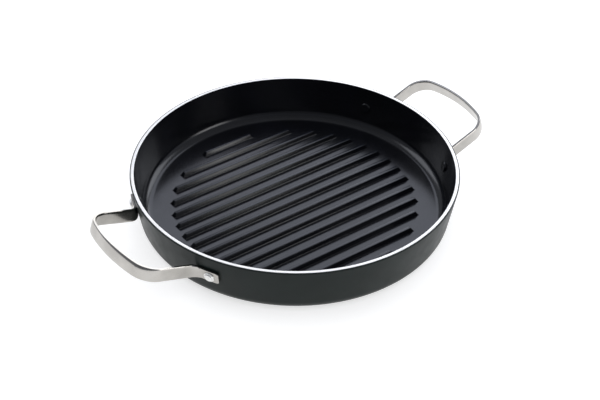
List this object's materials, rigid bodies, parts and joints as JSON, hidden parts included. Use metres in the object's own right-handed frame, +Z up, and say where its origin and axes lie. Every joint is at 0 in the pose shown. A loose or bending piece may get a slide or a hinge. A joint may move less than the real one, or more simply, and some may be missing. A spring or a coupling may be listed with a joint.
{
  "type": "round grill pan",
  "caption": "Round ribbed grill pan with a dark coat inside and out, a bare metal rim and two riveted steel loop handles.",
  "frame": {"origin": "centre of the base, on the surface the pan stands on", "axes": "+X along the line of the two handles, +Z up out of the pan's mouth, +Y across, square to the ribs"},
  "size_m": [0.3708, 0.2794, 0.0491],
  "materials": {
    "bare_aluminium": "turned, bright",
    "inner_coat": "smooth ceramic non-stick, semi-gloss",
    "outer_coat": "satin enamel-like coat",
    "base_steel": "brushed",
    "handle_steel": "fine satin, nearly polished",
    "rivet_metal": "satin"
  },
  "bodies": {
    "root": {"pan_body": "bare_aluminium", "ceramic_lining": "inner_coat", "outer_coat": "outer_coat", "induction_plate": "base_steel", "handle_left": "handle_steel", "handle_right": "handle_steel", "rivet_left_rear": "rivet_metal", "rivet_left_front": "rivet_metal", "rivet_right_front": "rivet_metal", "rivet_right_rear": "rivet_metal"}
  },
  "joints": []
}
